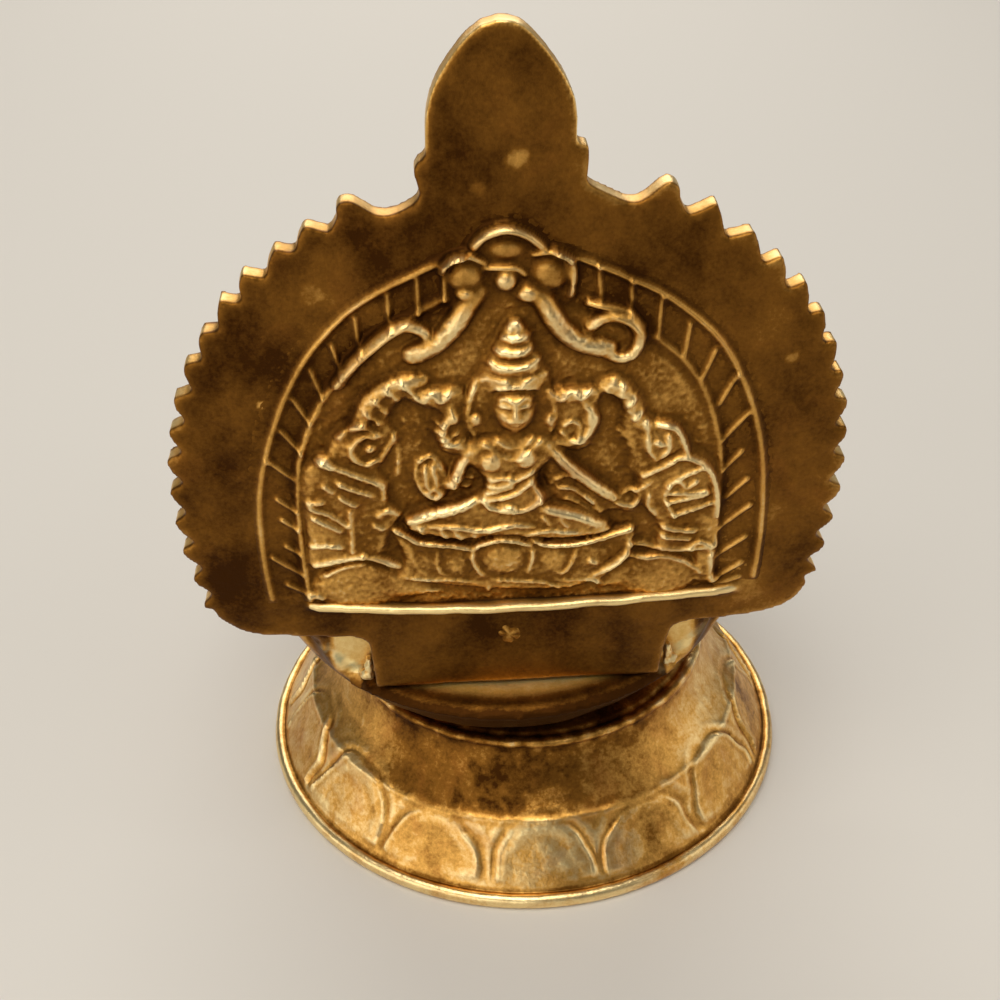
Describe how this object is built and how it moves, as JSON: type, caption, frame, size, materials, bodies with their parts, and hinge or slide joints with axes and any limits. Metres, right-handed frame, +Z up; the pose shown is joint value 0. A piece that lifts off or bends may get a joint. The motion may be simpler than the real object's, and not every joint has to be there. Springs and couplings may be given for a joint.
{
  "type": "oil lamp with figured back plate",
  "caption": "Small cast brass oil lamp: flared petal foot, round oil bowl with a pointed wick lip, and a toothed upright back plate with a seated figure in relief.",
  "frame": {"origin": "middle of the lamp's outline seen from above, on the floor plane that the foot's rim stands on", "axes": "+Z up, -Y the side that the relief looks to, +Y the way the wick lip points, +X to the right when the relief is looked at"},
  "size_m": [0.0634, 0.0684, 0.0892],
  "materials": {
    "foot_brass": "worn golden cast brass with brown tarnish",
    "bowl_brass": "dark tarnished cast brass",
    "washer_brass": "dull brass",
    "plate_brass": "dark brown tarnished cast brass with bright filed edges",
    "rivet_brass": "hammered brass",
    "braze": "rough bright braze with green tarnish"
  },
  "bodies": {
    "root": {"foot": "foot_brass", "bowl": "bowl_brass", "peg_washer": "washer_brass", "back_plate": "plate_brass", "tab_rivet": "rivet_brass", "braze_left": "braze", "braze_right": "braze"}
  },
  "joints": []
}
